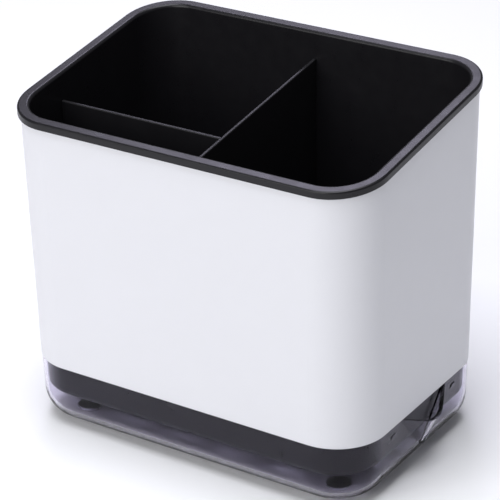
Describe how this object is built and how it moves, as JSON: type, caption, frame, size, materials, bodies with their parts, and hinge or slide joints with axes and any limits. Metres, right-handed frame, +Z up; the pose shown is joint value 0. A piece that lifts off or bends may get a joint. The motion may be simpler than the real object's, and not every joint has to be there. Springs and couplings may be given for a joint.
{
  "type": "cutlery holder",
  "caption": "Free-standing cutlery drainer: slanted dark bin with lift-out dividers in a white steel sleeve, on a clear drip tray with a pouring spout.",
  "frame": {"origin": "on the table, under the middle of the overall length, spout included", "axes": "+X along the length towards the pouring spout, +Y towards the high back, +Z up"},
  "size_m": [0.1806, 0.1176, 0.1632],
  "materials": {
    "bin_plastic": "satin anthracite moulded plastic",
    "divider_plastic": "satin anthracite moulded plastic",
    "sleeve_paint": "smooth satin white powder coat on sheet steel",
    "clear_plastic": "clear, slightly smoky polished plastic",
    "foot_rubber": "matt translucent pale grey rubber"
  },
  "bodies": {
    "tray": {"drip_tray": "clear_plastic", "front_left_foot": "foot_rubber", "front_right_foot": "foot_rubber", "back_left_foot": "foot_rubber", "back_right_foot": "foot_rubber"},
    "sleeve": {"outer_sleeve": "sleeve_paint"},
    "bin": {"inner_bin": "bin_plastic"},
    "cross_panel": {"cross_divider": "divider_plastic"},
    "side_panel": {"side_divider": "divider_plastic"}
  },
  "joints": [
    {"name": "sleeve_lift", "type": "slide", "parent": "tray", "child": "sleeve", "axis": [0, 0, 1], "range_m": [0, 0.05]},
    {"name": "bin_lift", "type": "slide", "parent": "sleeve", "child": "bin", "axis": [0, 0, 1], "range_m": [0, 0.15]},
    {"name": "cross_divider_lift", "type": "slide", "parent": "bin", "child": "cross_panel", "axis": [0, 0, 1], "range_m": [0, 0.14]},
    {"name": "side_divider_lift", "type": "slide", "parent": "bin", "child": "side_panel", "axis": [0, 0, 1], "range_m": [0, 0.14]}
  ]
}
